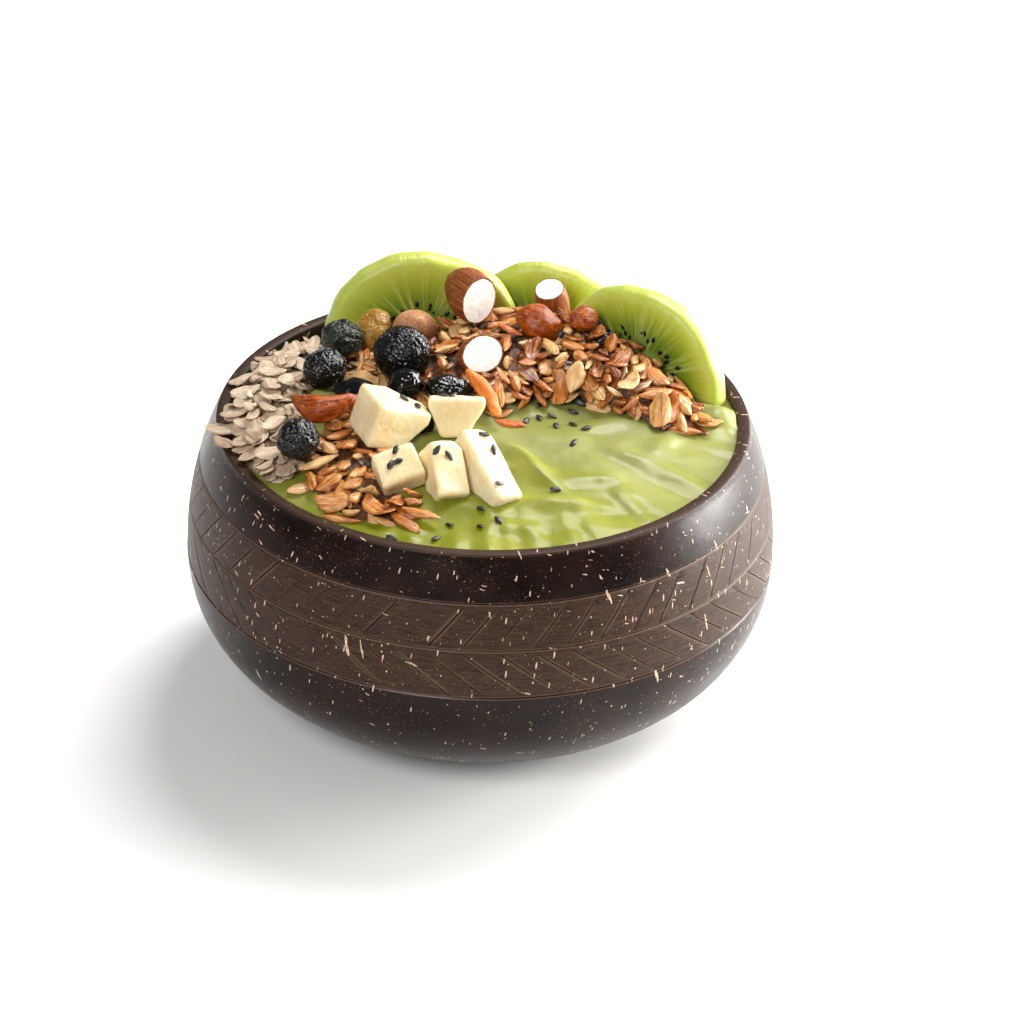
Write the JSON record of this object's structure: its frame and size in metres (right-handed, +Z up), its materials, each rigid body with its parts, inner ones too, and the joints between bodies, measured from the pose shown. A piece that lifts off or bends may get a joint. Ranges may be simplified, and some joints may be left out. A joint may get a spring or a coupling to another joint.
{
  "type": "smoothie bowl",
  "caption": "Carved coconut-shell bowl of thick green smoothie topped with kiwi slices, toasted granola, rolled oats, dark berries, fruit chunks and nuts.",
  "frame": {"origin": "centre of the bowl's foot, on the surface that the bowl stands on", "axes": "+Z up through the middle of the bowl; -Y towards the open smoothie at the front, +Y towards the kiwi slices at the back; +X to the right seen from the front"},
  "size_m": [0.14, 0.14, 0.0947],
  "materials": {
    "bowl": "polished coconut shell, satin at the rim",
    "smoothie": "thick green smoothie, moist",
    "kiwi": "moist green fruit flesh",
    "berry": "wrinkled dark dried berry",
    "chunk": "soft cream fruit flesh",
    "almond": "brown nut skin",
    "cashew": "orange-brown glazed nut",
    "dried_fruit": "golden dried fruit",
    "sliver": "orange dried fruit sliver",
    "granola": "toasted flakes",
    "oats": "raw rolled oats"
  },
  "bodies": {
    "root": {"bowl": "bowl", "smoothie": "smoothie", "kiwi_slice_left": "kiwi", "kiwi_slice_middle": "kiwi", "kiwi_slice_right": "kiwi", "berry_back_left": "berry", "berry_left": "berry", "berry_flat": "berry", "berry_big": "berry", "berry_middle": "berry", "berry_right": "berry", "berry_front": "berry", "berry_low": "berry", "cashew": "cashew", "nut_whole": "almond", "nut_small": "almond", "dried_fruit": "dried_fruit", "fruit_sliver": "sliver", "almond_half_upright": "almond", "almond_half_front": "almond", "almond_half_back": "almond", "almond_left": "almond", "fruit_chunk_big": "chunk", "fruit_chunk_back": "chunk", "fruit_chunk_front": "chunk", "fruit_chunk_middle": "chunk", "fruit_chunk_long": "chunk", "granola_back": "granola", "granola_front": "granola", "oats": "oats"}
  },
  "joints": []
}
